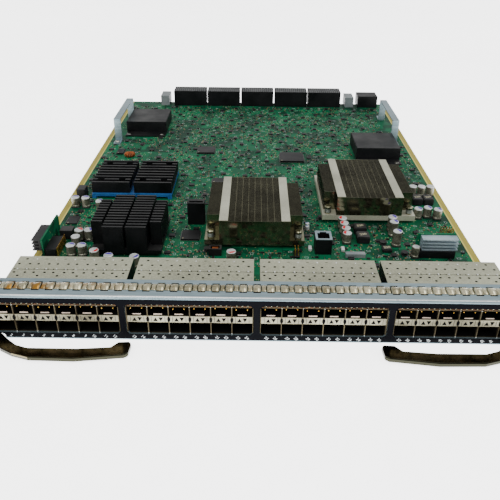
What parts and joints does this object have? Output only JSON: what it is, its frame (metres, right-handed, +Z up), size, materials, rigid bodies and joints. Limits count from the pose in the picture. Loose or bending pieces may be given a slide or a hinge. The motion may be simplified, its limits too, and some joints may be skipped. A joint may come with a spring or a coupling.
{
  "type": "switch line card",
  "caption": "Plug-in switch line card: black front plate with stacked rows of optical module ports, ejector levers, captive screws and a long board with finned heatsinks.",
  "frame": {"origin": "middle of the lower front edge of the front plate, where the card meets the middle of its slot", "axes": "+X along the front plate to the right seen from the front, +Y back along the board towards the chassis, +Z up from the board"},
  "size_m": [0.395, 0.5783, 0.0384],
  "materials": {
    "zinc_sheet": "zinc plated, satin",
    "zinc_spring": "bright plated",
    "black_film": "satin black",
    "cage_nickel": "warm nickel plated, satin",
    "copper_spring": "tarnished copper alloy",
    "black_plastic": "moulded",
    "grey_plastic": "moulded",
    "green_board": "green solder mask",
    "blue_board": "blue solder mask",
    "brass_post": "turned",
    "steel_screw": "satin",
    "polished_steel": "mirror polished",
    "black_anodised": "black anodised",
    "silver_anodised": "clear anodised",
    "nickel_plate": "nickel plated",
    "can_aluminium": "sleeved cans",
    "dark_ferrite": "pressed ferrite",
    "copper_wire": "enamelled copper",
    "gold_pin": "gold plated"
  },
  "bodies": {
    "card": {"backplane_connectors": "black_plastic", "black_sink": "black_anodised", "blue_carrier": "blue_board", "board_standoffs": "brass_post", "cage_covers": "cage_nickel", "cage_floors": "cage_nickel", "cage_walls": "cage_nickel", "carrier_tray": "zinc_sheet", "centre_sink_base": "nickel_plate", "centre_sink_fins": "nickel_plate", "flange_gasket": "zinc_spring", "flat_connector": "grey_plastic", "flat_packs": "black_plastic", "front_overlay": "black_film", "front_plate": "zinc_sheet", "guide_sockets": "grey_plastic", "header_base": "black_plastic", "header_pins": "gold_pin", "inductors": "dark_ferrite", "jack_housing": "black_plastic", "jack_rim": "zinc_sheet", "left_module_sink": "black_anodised", "low_sinks": "black_anodised", "main_board": "green_board", "module_blocks": "black_plastic", "module_boards": "green_board", "module_choke": "dark_ferrite", "module_pins": "gold_pin", "opening_collars": "copper_spring", "pivot_brackets": "zinc_sheet", "pivot_pins": "steel_screw", "port_bands": "cage_nickel", "port_connectors": "black_plastic", "power_bricks": "black_plastic", "power_connector": "black_plastic", "right_module_sink": "silver_anodised", "right_sink_base": "nickel_plate", "right_sink_fins": "nickel_plate", "short_capacitors": "can_aluminium", "sink_chips": "black_plastic", "sink_screws": "steel_screw", "slot_box": "black_plastic", "small_transformer": "dark_ferrite", "straps": "zinc_sheet", "tall_capacitors": "can_aluminium", "tall_transformer": "dark_ferrite", "toroid_choke": "copper_wire", "transformer_winding": "copper_wire"},
    "left_lever": {"left_lever": "polished_steel"},
    "right_lever": {"right_lever": "polished_steel"},
    "left_captive_ring": {"left_captive_ring": "steel_screw"},
    "right_captive_ring": {"right_captive_ring": "steel_screw"},
    "left_captive_screw": {"left_captive_screw": "steel_screw"},
    "right_captive_screw": {"right_captive_screw": "steel_screw"}
  },
  "joints": [
    {"name": "left_lever_pivot", "type": "hinge", "parent": "card", "child": "left_lever", "pos_m": [-0.187, 0.009, 0.0029], "axis": [0, 0, -1], "range_deg": [0, 55]},
    {"name": "left_captive_travel", "type": "slide", "parent": "card", "child": "left_captive_ring", "axis": [0, 1, 0], "range_m": [0, 0.0049], "stiffness_N_per_m": 60},
    {"name": "left_captive_turn", "type": "hinge", "parent": "left_captive_ring", "child": "left_captive_screw", "pos_m": [-0.187, 0.0026, 0.024], "axis": [0, 1, 0], "continuous": true},
    {"name": "right_lever_pivot", "type": "hinge", "parent": "card", "child": "right_lever", "pos_m": [0.187, 0.009, 0.0029], "axis": [0, 0, 1], "range_deg": [0, 55]},
    {"name": "right_captive_travel", "type": "slide", "parent": "card", "child": "right_captive_ring", "axis": [0, 1, 0], "range_m": [0, 0.0049], "stiffness_N_per_m": 60},
    {"name": "right_captive_turn", "type": "hinge", "parent": "right_captive_ring", "child": "right_captive_screw", "pos_m": [0.187, 0.0026, 0.024], "axis": [0, 1, 0], "continuous": true}
  ]
}
